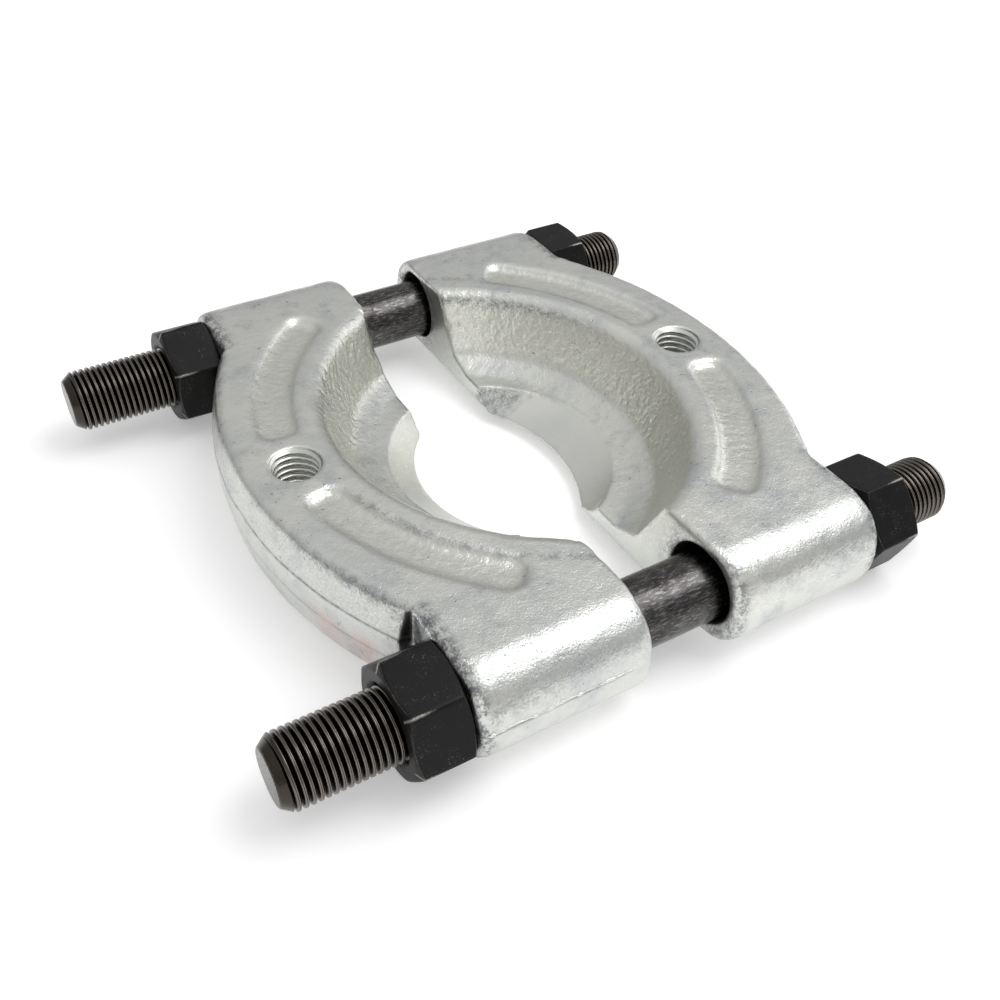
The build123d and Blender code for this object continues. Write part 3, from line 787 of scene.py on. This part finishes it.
def black_oxide_steel():
    """Black oxide: nearly black and softly glossy, so it shows mostly as reflections. It is
    rubbed off the corners, where the bare steel is also a painted highlight, and bright specks of steel
    show through."""
    material, tree = new_material("black_oxide_steel")
    place = add(tree, "ShaderNodeTexCoord", output="Object")
    wear = add(tree, "ShaderNodeAttribute", {"attribute_name": "wear"}, output="Fac")
    speck = add(tree, "ShaderNodeTexNoise", None, {
        "Vector": place, "Scale": 1 / (0.35 * MM), "Detail": 3.0, "Roughness": 0.7})
    patch = add(tree, "ShaderNodeTexNoise", None, {"Vector": place, "Scale": 1 / (4 * MM)})
    ragged = add(tree, "ShaderNodeMath", {"operation": "ADD"}, {0: speck, 1: 0.25})
    ragged = add(tree, "ShaderNodeMath", {"operation": "MULTIPLY"}, {0: wear, 1: ragged})
    # The bare steel on the corners is wear and also a painted highlight, brightest away from the jaw
    rubbed = add(tree, "ShaderNodeMapRange", None, {"Value": ragged, "From Min": 0.35, "From Max": 0.8})
    dots = add(tree, "ShaderNodeMapRange", None, {"Value": speck, "From Min": 0.6, "From Max": 0.68})
    some = add(tree, "ShaderNodeMapRange", None, {
        "Value": patch, "From Min": 0.5, "From Max": 0.6, "To Max": 0.3})
    dots = add(tree, "ShaderNodeMath", {"operation": "MULTIPLY"}, {0: dots, 1: some})
    bare = add(tree, "ShaderNodeMath", {"operation": "MAXIMUM"}, {0: rubbed, 1: dots})
    oxide = add(tree, "ShaderNodeMix", {"data_type": "RGBA"}, {
        "Factor": patch, "A": linear("#070707"), "B": linear("#0f0e0e")}, "Result")
    tone = add(tree, "ShaderNodeMix", {"data_type": "RGBA"}, {
        "Factor": bare, "A": oxide, "B": linear("#a39f99")}, "Result")
    normal = add(tree, "ShaderNodeBump", None, {"Strength": 0.5, "Distance": 0.04 * MM, "Height": speck})
    surface = add(tree, "ShaderNodeBsdfPrincipled", None, {
        "Roughness": 0.4, "Specular IOR Level": 0.2,
        "Base Color": tone, "Metallic": bare, "Normal": normal})
    add(tree, "ShaderNodeOutputMaterial", None, {"Surface": surface})
    return material


nut_steel = black_oxide_steel()
for node, body in NUT_BODIES.items():
    new_piece(node + "_hexagon", hex_nut(node), nut_steel, body, node)

# Studio: a white floor under the lowest nut corners, a large softbox overhead, a wide dim one
# beside the camera, another on the right, and a pale room that grows darker towards the horizon
# but looks white to the camera. The floor glows a little where it is seen or mirrored.

FLOOR_SIZE = 8.0
FLOOR_GLOW = 0.3
ROOM_HORIZON, ROOM_ZENITH = 0.35, 0.8
floor_z = CAD_BOX[0][2]
corners = [
    (x * FLOOR_SIZE / 2, y * FLOOR_SIZE / 2, floor_z) for x, y in ((-1, -1), (1, -1), (1, 1), (-1, 1))]
floor_mesh = bpy.data.meshes.new("floor")
floor_mesh.from_pydata(corners, [], [(0, 1, 2, 3)])
floor = new_object("floor", floor_mesh)
floor_paint, floor_tree = new_material("white_floor")
seen = add(floor_tree, "ShaderNodeLightPath", output="Is Camera Ray")
mirrored = add(floor_tree, "ShaderNodeLightPath", output="Is Glossy Ray")
seen = add(floor_tree, "ShaderNodeMath", {"operation": "MAXIMUM"}, {0: seen, 1: mirrored})
glow = add(floor_tree, "ShaderNodeMath", {"operation": "MULTIPLY"}, {0: seen, 1: FLOOR_GLOW})
floor_surface = add(floor_tree, "ShaderNodeBsdfPrincipled", None, {
    "Base Color": linear("#f2f2f2"), "Roughness": 0.9,
    "Emission Color": (1, 1, 1, 1), "Emission Strength": glow})
add(floor_tree, "ShaderNodeOutputMaterial", None, {"Surface": floor_surface})
floor_mesh.materials.append(floor_paint)

world = bpy.data.worlds.new("room")
bpy.context.scene.world = world
world.use_nodes = True
room = world.node_tree
room.nodes.clear()
direction = add(room, "ShaderNodeTexCoord", output="Generated")
upward = add(room, "ShaderNodeSeparateXYZ", None, {"Vector": direction}, "Z")
level = add(room, "ShaderNodeMapRange", None, {
    "Value": upward, "To Min": ROOM_HORIZON, "To Max": ROOM_ZENITH})
seen = add(room, "ShaderNodeLightPath", output="Is Camera Ray")
level = add(room, "ShaderNodeMath", {"operation": "MAXIMUM"}, {0: level, 1: seen})
sky = add(room, "ShaderNodeBackground", None, {"Color": (1, 1, 1, 1), "Strength": level})
add(room, "ShaderNodeOutputWorld", None, {"Surface": sky})


def softbox(name, direction, distance, size, radiance):
    """A square area light that faces the middle of the object."""
    light = bpy.data.lights.new(name, "AREA")
    light.size = size
    light.energy = radiance * np.pi * size**2
    lamp = new_object(name, light)
    back = np.array(direction) / np.linalg.norm(direction)
    across = np.cross((0, 0, 1), back)
    across /= np.linalg.norm(across)
    matrix = np.eye(4)
    matrix[:3] = np.stack([across, np.cross(back, across), back, back * distance], axis=1)
    lamp.matrix_world = matrix.T.tolist()


softbox("overhead_softbox", (0.40, -0.22, 0.89), distance=0.8, size=0.5, radiance=3.0)
softbox("front_fill", (-0.45, -0.86, 0.25), distance=1.2, size=0.7, radiance=0.85)
softbox("right_fill", (0.95, 0.1, 0.33), distance=1.2, size=0.65, radiance=0.95)

# Camera: its place, turn and lens were fitted to the object's edges in the photograph. It looks
# down on the object from the left of its front.

CAMERA_LENS = 39.168
CAMERA_PLACE = (-0.11793, -0.18680, 0.18118)
CAMERA_TURN = (0.8569, -0.0284, -0.5405)
camera_data = bpy.data.cameras.new("camera")
camera_data.lens = CAMERA_LENS
camera_data.sensor_width = 36.0
camera_data.clip_start = 0.01
camera = new_object("camera", camera_data)
camera.location = CAMERA_PLACE
camera.rotation_euler = CAMERA_TURN
bpy.context.scene.camera = camera
bpy.context.scene.view_settings.view_transform = "Standard"
